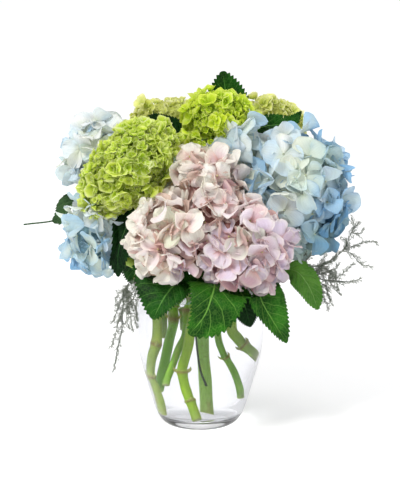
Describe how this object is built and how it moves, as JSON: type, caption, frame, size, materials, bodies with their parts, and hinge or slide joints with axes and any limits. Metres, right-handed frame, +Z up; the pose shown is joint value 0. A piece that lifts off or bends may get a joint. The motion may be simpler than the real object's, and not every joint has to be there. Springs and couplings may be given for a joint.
{
  "type": "hydrangea_vase_arrangement",
  "caption": "Cut hydrangeas in pink, pale blue and lime green with serrated leaves and sea lavender, arranged in a tapered clear glass vase",
  "frame": {"origin": "centre of the flat underside of the vase, on the table", "axes": "+Z up along the vase's axis, -Y towards the viewer (the front of the arrangement), +X to the viewer's right"},
  "size_m": [0.3535, 0.2278, 0.3512],
  "materials": {
    "clear_glass": "gloss",
    "pink_florets": "matte",
    "blue_florets": "matte",
    "green_florets": "matte",
    "lime_florets": "matte",
    "green_stem": "satin",
    "green_leaf": "satin",
    "pale_leaf": "satin",
    "grey_green_sprig": "matte"
  },
  "bodies": {
    "root": {"glass_vase": "clear_glass", "pink_flower_head": "pink_florets", "blue_flower_head_right": "blue_florets", "blue_flower_head_left_upper": "blue_florets", "blue_flower_head_left_lower": "blue_florets", "green_flower_head_left": "green_florets", "green_flower_head_top": "green_florets", "lime_flower_head_back_left": "lime_florets", "lime_flower_head_back_right": "lime_florets", "blue_flower_head_back": "blue_florets", "pink_flower_head_back": "pink_florets", "stem_blue_left_lower": "green_stem", "stem_blue_left_upper": "green_stem", "stem_green_left": "green_stem", "stem_pink": "green_stem", "stem_green_top": "green_stem", "stem_lime_back_right": "green_stem", "stem_blue_right": "green_stem", "stem_blue_back": "green_stem", "stem_pink_back": "green_stem", "stem_lime_back_left": "green_stem", "leaf_front_left": "green_leaf", "leaf_left_inner": "green_leaf", "leaf_front_centre": "green_leaf", "leaf_front_dark": "green_leaf", "leaf_front_right": "green_leaf", "leaf_right_pale": "pale_leaf", "leaf_top": "green_leaf", "leaf_top_right": "green_leaf", "leaf_between_greens": "green_leaf", "leaf_left_narrow": "green_leaf", "leaf_back_left": "green_leaf", "leaf_back_right": "green_leaf", "leaf_back_top": "green_leaf", "sprig_right_upper": "grey_green_sprig", "sprig_right_lower": "grey_green_sprig", "sprig_left": "grey_green_sprig"}
  },
  "joints": []
}
